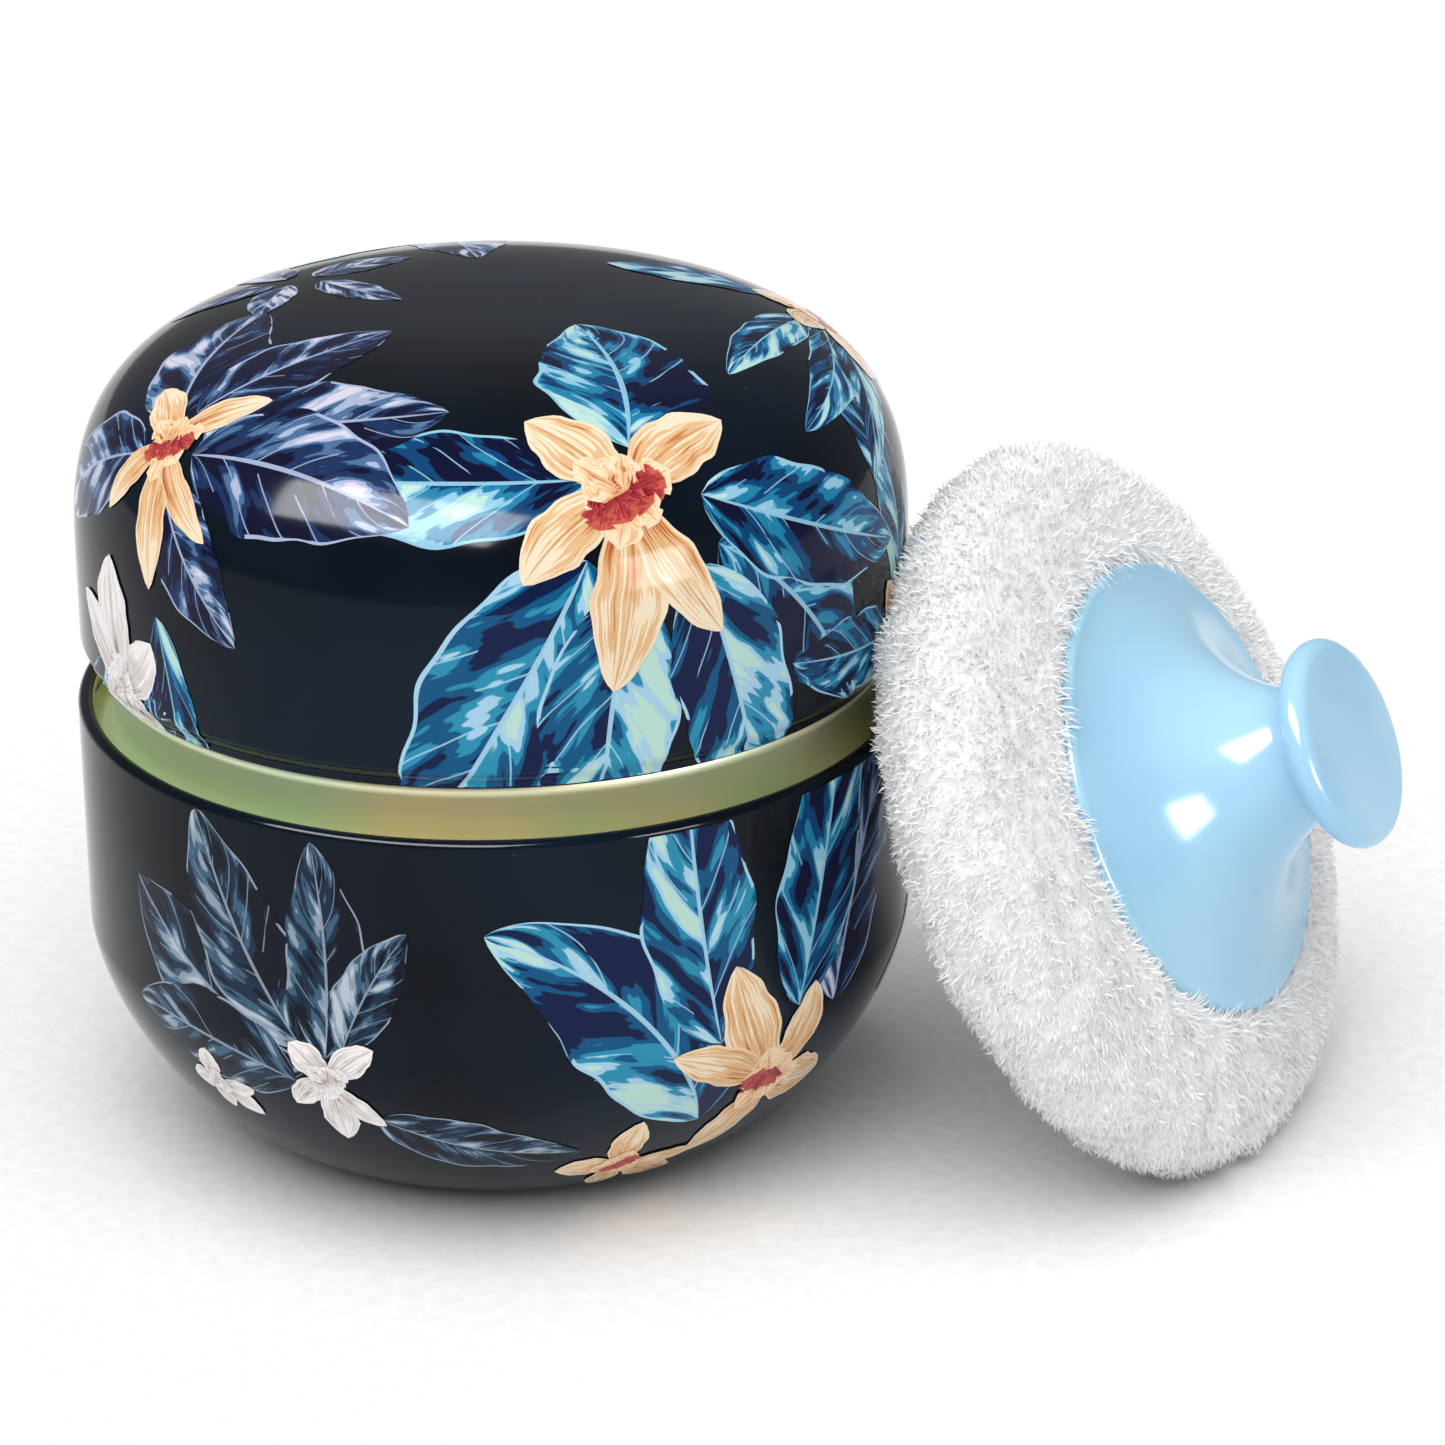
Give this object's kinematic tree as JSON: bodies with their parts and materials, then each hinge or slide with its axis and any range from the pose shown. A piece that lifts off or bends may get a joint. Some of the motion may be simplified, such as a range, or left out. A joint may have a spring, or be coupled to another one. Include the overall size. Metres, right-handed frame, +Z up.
{
  "type": "talcum powder tin",
  "caption": "Round tinplate powder tin with a domed lift-off lid, gold collar and sifter tray, and a soft plush puff with a knob handle leaning against it.",
  "frame": {"origin": "middle of the tin's flat base, on the surface it stands on", "axes": "+Z up through the middle of the lid, +X towards the side where the puff leans, +Y to the back"},
  "size_m": [0.1528, 0.0974, 0.099],
  "materials": {
    "printed_tinplate": "tinplate, printed and gloss lacquered",
    "gold_tinplate": "tinplate under a gold lacquer, burnished",
    "white_moulding": "moulded polypropylene, satin",
    "talc": "settled powder, matt",
    "white_plush": "short-pile plush",
    "foam": "open-cell foam",
    "blue_moulding": "moulded styrene, polished",
    "washer_moulding": "moulded polypropylene, matt",
    "zinc_steel": "zinc-plated steel",
    "thread": "twisted polyester thread"
  },
  "bodies": {
    "tin": {"body_shell": "printed_tinplate", "neck_ring": "gold_tinplate", "powder_fill": "talc"},
    "lid": {"lid_shell": "printed_tinplate"},
    "sifter": {"sifter_tray": "white_moulding"},
    "puff": {"plush_cover": "white_plush", "foam_core": "foam", "puff_handle": "blue_moulding", "backing_washer": "washer_moulding", "handle_screw": "zinc_steel", "gather_thread": "thread"}
  },
  "joints": [
    {"name": "lid_lift", "type": "slide", "parent": "tin", "child": "lid", "axis": [0, 0, 1], "range_m": [0, 0.045]},
    {"name": "sifter_lift", "type": "slide", "parent": "tin", "child": "sifter", "axis": [0, 0, 1], "range_m": [0, 0.018]},
    {"name": "puff_pull", "type": "slide", "parent": "tin", "child": "puff", "axis": [0.7784, -0.4494, 0.4384], "range_m": [0, 0.08]}
  ]
}
